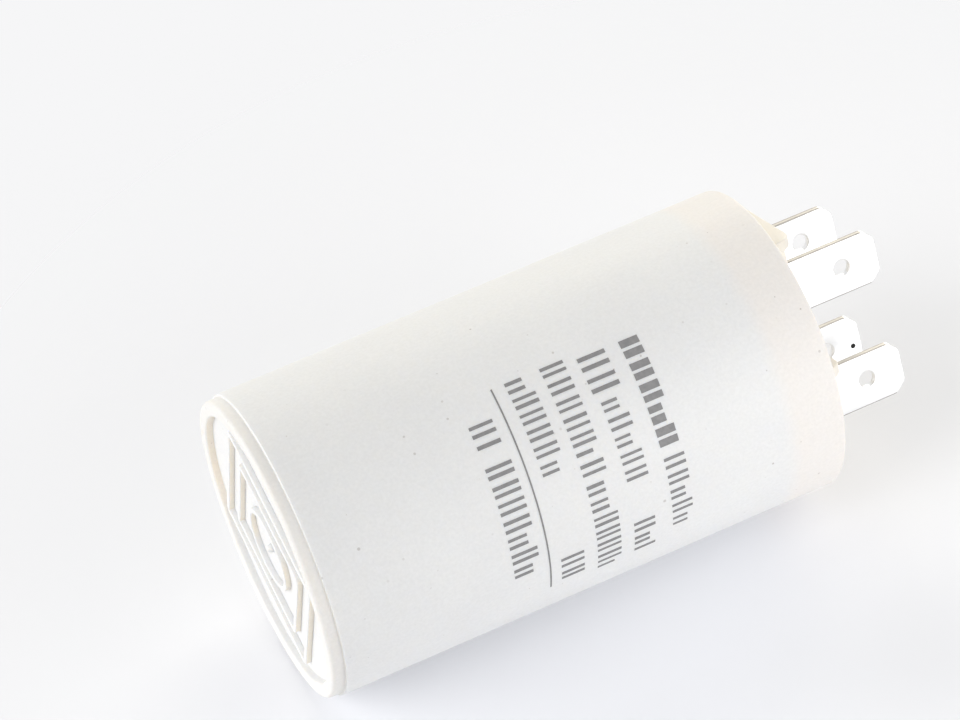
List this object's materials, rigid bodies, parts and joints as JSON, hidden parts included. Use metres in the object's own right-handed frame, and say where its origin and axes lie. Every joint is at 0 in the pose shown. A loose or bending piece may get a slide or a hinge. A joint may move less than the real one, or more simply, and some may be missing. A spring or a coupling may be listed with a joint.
{
  "type": "motor start capacitor",
  "caption": "Drafted white plastic can closed by a plug lid with barrier walls and paired push-on blade terminals; it holds a potted film winding for an AC motor.",
  "frame": {"origin": "centre of the foot rim of the closed end, on the surface that it stands on", "axes": "+Z along the can's axis to the blades; +X across the blades' width, from terminal to terminal; -Y is the front"},
  "size_m": [0.0352, 0.0352, 0.0742],
  "materials": {
    "can_plastic": "matte moulded",
    "lid_plastic": "matte moulded",
    "tinned_sheet": "bright tinned",
    "rivet_metal": "tinned",
    "tag_metal": "tinned",
    "wire_metal": "drawn",
    "sleeve_plastic": "extruded",
    "film_roll": "wound film",
    "core_plastic": "extruded",
    "wrap_film": "wound film",
    "sprayed_zinc": "sprayed",
    "resin": "cast"
  },
  "bodies": {
    "root": {"can": "can_plastic", "lid": "lid_plastic", "terminal_left": "tinned_sheet", "terminal_right": "tinned_sheet", "rivet_left": "rivet_metal", "rivet_right": "rivet_metal", "solder_tag_left": "tag_metal", "solder_tag_right": "tag_metal", "lead_left": "wire_metal", "lead_right": "wire_metal", "sleeve_left": "sleeve_plastic", "sleeve_right": "sleeve_plastic", "winding": "film_roll", "winding_core": "core_plastic", "winding_wrap": "wrap_film", "sprayed_end_top": "sprayed_zinc", "sprayed_end_bottom": "sprayed_zinc", "potting_resin": "resin"}
  },
  "joints": []
}
